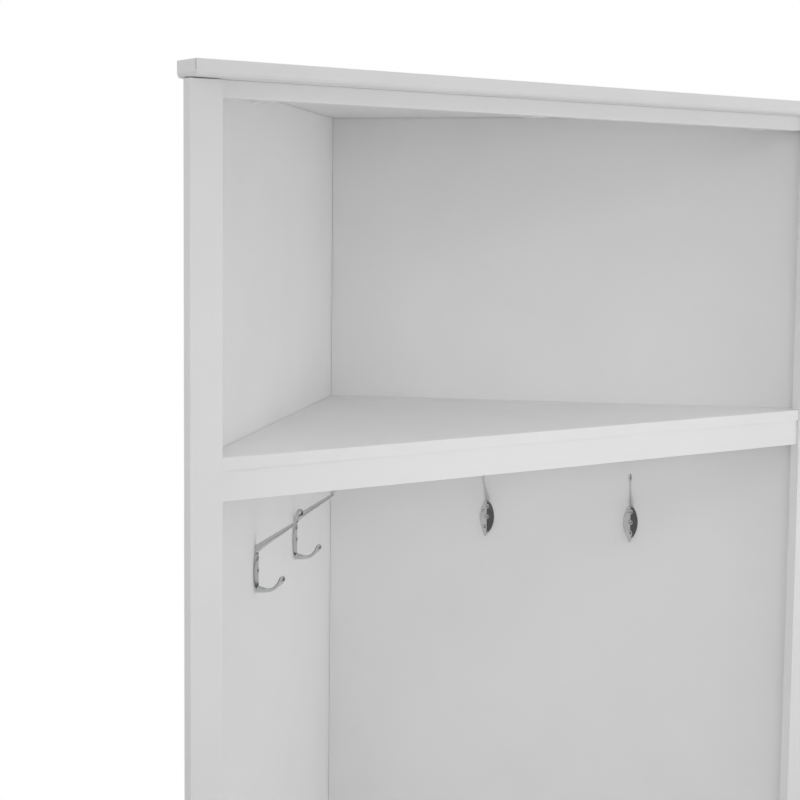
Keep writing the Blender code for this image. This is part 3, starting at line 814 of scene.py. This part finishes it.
def angle_mesh():
    """Bent steel angle in its own frame: back along Y, foot along X, rounded at its free corners."""
    leg, metal = BRACKET_LEG, BRACKET_METAL
    middle = 2.0 * metal        # centre of the bend
    sweep = [math.radians(a) for a in (180.0, 202.5, 225.0, 247.5, 270.0)]
    inner = [(middle + metal * math.cos(a), middle + metal * math.sin(a)) for a in reversed(sweep)]
    outer = [(middle + middle * math.cos(a), middle + middle * math.sin(a)) for a in sweep]
    profile = [(leg, 0.0), (leg, metal)] + inner + [(metal, leg), (0.0, leg)] + outer
    bm = prism(profile, -BRACKET_WIDTH / 2.0, BRACKET_WIDTH / 2.0)

    def is_free_corner(edge):
        level = abs(edge.verts[0].co.z - edge.verts[1].co.z) < GAP
        at_end = max(max(v.co.x, v.co.y) for v in edge.verts) > leg - GAP
        return level and at_end and edge.calc_length() < metal + GAP

    corners = [e for e in bm.edges if is_free_corner(e)]
    bmesh.ops.bevel(bm, geom=corners, offset=BRACKET_CORNER, segments=6, profile=0.5, affect="EDGES")
    return mesh_from("angle", bm)


def wall_brackets():
    """Bent steel angles, with their holes and screws."""
    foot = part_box("wall_bracket_right")[0].z
    top = 2.0 * MM              # height of the screw's head
    head = 3.6 * MM
    screw = screw_mesh(pan_profile(-12.0 * MM, 0.0, top, 1.8 * MM, head), top, head)
    for label, side in SIDES.items():
        screw_node = "wall_bracket_screw_" + label
        point = centre(screw_node)
        s, screw_n = wall_place(side, point)
        back_n = screw_n - DOWN_SCREW_STEP
        out = out_of_wall(side)
        across = Vector((side, -1.0, 0.0)).normalized()
        turn = Matrix((out, UP, across)).transposed().to_4x4()
        mesh = moved(angle_mesh(), Matrix.Translation(on_wall(side, s, back_n, foot)) @ turn)
        wall_hole = aimed(on_wall(side, s, back_n, foot + WALL_HOLE_RISE), out)
        down_hole = aimed(Vector((point.x, point.y, foot)), UP)
        cutters = [
            cylinder_cutter(WALL_HOLE, -5.0 * MM, 6.0 * MM, wall_hole),
            cylinder_cutter(SHANK_HOLE, -3.0 * MM, 4.0 * MM, down_hole),
        ]
        mesh = cut(mesh, cutters)
        soften(mesh)
        add_piece("angle_" + label, mesh, (SHEET,), ("wall_bracket_" + label,))
        place = aimed(Vector((point.x, point.y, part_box(screw_node)[1].z - top)), UP)
        add_screw("screw_angle_" + label, screw, screw_node, place)


def hidden_fittings():
    """Dowels and cam bolts keep their CAD solids, in their own materials."""
    for name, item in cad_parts.items():
        if "dowel" in name:
            finish = BEECH
        elif name.startswith("cam_bolt"):
            finish = ZINC
        else:
            continue
        for slot in item.material_slots:
            slot.material = finish


# ---------------------------------------------------------------- studio
SURROUND = 0.460                # soft white light from all round
WIDE_LIGHTS = (                 # broad soft lights far off: direction towards them, level
    (Vector((1.0, 0.0, 0.0)), 0.10),
    (Vector((0.0, 0.0, 1.0)), 0.45),
    (Vector((-0.8, -0.1, -0.6)), 0.08),
)
ROOM_DARK = 0.12                # polished metal sees a dark room
ROOM_HEIGHTS = (                # where a change begins and ends, by the direction's height; level at each
    (-0.16, -0.03, 0.0, 0.43),
    (-0.68, -0.50, 0.63, 0.0),
)
ROOM_SIDES = (                  # direction, cosine where a change begins, and is whole, change of level
    (Vector((-0.66, -0.73, 0.18)), 0.80, 0.94, 0.45),
    (Vector((0.14, -0.98, 0.15)), 0.70, 0.86, -0.43),
)
SOFTBOXES = (                   # name, place, size, power in watts, spread in degrees
    ("key", (1.6, -1.6, 1.5), 1.0, 5.7, 180.0),
    ("key_grid", (1.3, -1.7, 1.4), 0.6, 0.24, 40.0),
    ("front_grid", (-1.4, -1.95, 1.7), 0.5, 0.205, 30.0),
    ("left", (-1.7, -1.3, 2.3), 0.35, 2.0, 180.0),
)
LIGHTS_AIM = Vector((0.0, -0.15, 1.35))     # middle of the open front
FLOOR_RADIUS = (1.5, 2.3)       # where the floor begins to fade, and its edge
FLOOR_GREY = 0.72
FLOOR_SHOWN = 0.56              # brings the floor up to the backdrop's white
FLOOR_GLOW = 0.20               # light from the white floor's far parts

CAMERA_PLACE = (-1.3856, -1.8826, 1.6458)
CAMERA_TURN = -34.87            # degrees from the front
CAMERA_DIP = 5.26               # degrees below level
CAMERA_ROLL = 0.544
CAMERA_LENS = 75.15             # mm, on a 36 mm sensor
CAMERA_SHIFT = (0.01875, -0.03125)


def feed(tree, socket, value):
    """Link a socket to an output, or set it to a plain number."""
    if isinstance(value, bpy.types.NodeSocket):
        tree.links.new(value, socket)
    else:
        socket.default_value = value


def maths(tree, operation, *terms):
    """Result of a maths node; each term is an output or a plain number."""
    node = tree.nodes.new("ShaderNodeMath")
    node.operation = operation
    for socket, term in zip(node.inputs, terms):
        feed(tree, socket, term)
    return node.outputs["Value"]


def mixed(tree, factor, first, second):
    """First where the factor is 0, and second where it is 1."""
    node = tree.nodes.new("ShaderNodeMix")
    node.data_type = "FLOAT"
    feed(tree, node.inputs["Factor"], factor)
    feed(tree, node.inputs["A"], first)
    feed(tree, node.inputs["B"], second)
    return node.outputs["Result"]


def smooth_change(tree, source, start, end, low, high):
    """Smooth change from low to high, while the source goes from start to end."""
    node = tree.nodes.new("ShaderNodeMapRange")
    node.interpolation_type = "SMOOTHSTEP"
    limits = {"From Min": start, "From Max": end, "To Min": low, "To Max": high}
    for name, limit in limits.items():
        node.inputs[name].default_value = limit
    tree.links.new(source, node.inputs["Value"])
    return node.outputs["Result"]


def facing(tree, where, direction):
    """Cosine between the world's directions and one direction."""
    node = tree.nodes.new("ShaderNodeVectorMath")
    node.operation = "DOT_PRODUCT"
    node.inputs[1].default_value = direction.normalized()
    tree.links.new(where, node.inputs[0])
    return node.outputs["Value"]


def surround():
    """White backdrop and soft white light, with a dark room for reflections."""
    world = bpy.data.worlds.new("surround")
    bpy.context.scene.world = world
    world.use_nodes = True
    tree = world.node_tree
    where = tree.nodes.new("ShaderNodeTexCoord").outputs["Generated"]
    light = SURROUND
    for direction, strength in WIDE_LIGHTS:
        ahead = maths(tree, "MAXIMUM", facing(tree, where, direction), 0.0)
        light = maths(tree, "MULTIPLY_ADD", maths(tree, "POWER", ahead, 2.0), strength, light)

    parts = tree.nodes.new("ShaderNodeSeparateXYZ")
    tree.links.new(where, parts.inputs["Vector"])
    room = ROOM_DARK
    for start, end, low, high in ROOM_HEIGHTS:
        change = smooth_change(tree, parts.outputs["Z"], start, end, low, high)
        room = maths(tree, "ADD", room, change)
    for direction, start, end, level in ROOM_SIDES:
        change = smooth_change(tree, facing(tree, where, direction), start, end, 0.0, level)
        room = maths(tree, "ADD", room, change)
    room = maths(tree, "MAXIMUM", room, ROOM_DARK)

    ray = tree.nodes.new("ShaderNodeLightPath").outputs
    backdrop = 1.0
    seen = mixed(tree, ray["Is Glossy Ray"], light, room)
    seen = mixed(tree, ray["Is Camera Ray"], seen, backdrop)
    background = tree.nodes["Background"]
    background.inputs["Color"].default_value = (1.0, 1.0, 1.0, 1.0)
    tree.links.new(seen, background.inputs["Strength"])


def softbox(name, place, size, power, spread):
    """Square area light, hidden from the camera and from reflections."""
    data = bpy.data.lights.new(name, "AREA")
    data.shape = "SQUARE"
    data.size = size
    data.energy = power
    data.spread = math.radians(spread)
    aim = LIGHTS_AIM - Vector(place)
    item = bpy.data.objects.new(name, data)
    item.matrix_world = Matrix.Translation(place) @ aim.to_track_quat("-Z", "Y").to_matrix().to_4x4()
    item.visible_camera = False
    item.visible_glossy = False
    bpy.context.scene.collection.objects.link(item)


def floor_material():
    """White floor that glows a little, fades out towards its edge and is clear from below."""
    mat, nodes, links, shader = new_material("floor", (FLOOR_GREY, FLOOR_GREY, FLOOR_GREY), 0.7)
    tree = mat.node_tree
    is_camera = nodes.new("ShaderNodeLightPath").outputs["Is Camera Ray"]
    shader.inputs["Emission Color"].default_value = (1.0, 1.0, 1.0, 1.0)
    links.new(mixed(tree, is_camera, FLOOR_GLOW, FLOOR_SHOWN), shader.inputs["Emission Strength"])
    length = nodes.new("ShaderNodeVectorMath")
    length.operation = "LENGTH"
    links.new(nodes.new("ShaderNodeTexCoord").outputs["Object"], length.inputs[0])
    fade = smooth_change(tree, length.outputs["Value"], *FLOOR_RADIUS, 1.0, 0.0)
    above = maths(tree, "SUBTRACT", 1.0, nodes.new("ShaderNodeNewGeometry").outputs["Backfacing"])
    links.new(maths(tree, "MULTIPLY", fade, above), shader.inputs["Alpha"])
    return mat


def studio():
    """Pale floor, soft light and a white surround."""
    bm = bmesh.new()
    bmesh.ops.create_circle(bm, cap_ends=True, segments=96, radius=FLOOR_RADIUS[1])
    floor_mesh = mesh_from("floor", bm)
    if floor_mesh.polygons[0].normal.z < 0.0:
        floor_mesh.flip_normals()
    floor_mesh.materials.append(floor_material())
    floor = bpy.data.objects.new("floor", floor_mesh)
    floor.location.z = -0.5 * MM
    floor.visible_glossy = False
    bpy.context.scene.collection.objects.link(floor)
    surround()
    for row in SOFTBOXES:
        softbox(*row)
    bpy.context.scene.view_settings.view_transform = "Standard"


def camera():
    """Long lens, a little above the shelf, turned towards the left panel's front edge."""
    data = bpy.data.cameras.new("camera")
    data.sensor_width = 36.0
    data.lens = CAMERA_LENS
    data.shift_x, data.shift_y = CAMERA_SHIFT
    item = bpy.data.objects.new("camera", data)
    heading = Matrix.Rotation(math.radians(CAMERA_TURN), 4, "Z")
    pitch = Matrix.Rotation(math.radians(90.0 - CAMERA_DIP), 4, "X")
    roll = Matrix.Rotation(math.radians(CAMERA_ROLL), 4, "Z")
    item.matrix_world = Matrix.Translation(CAMERA_PLACE) @ heading @ pitch @ roll
    bpy.context.scene.collection.objects.link(item)
    bpy.context.scene.camera = item


side_panels()
top_board()
notched_boards()
straight_boards()
hooks()
hook_screws()
corner_screws()
rail_blocks()
cam_locks()
wall_brackets()
hidden_fittings()
studio()
camera()
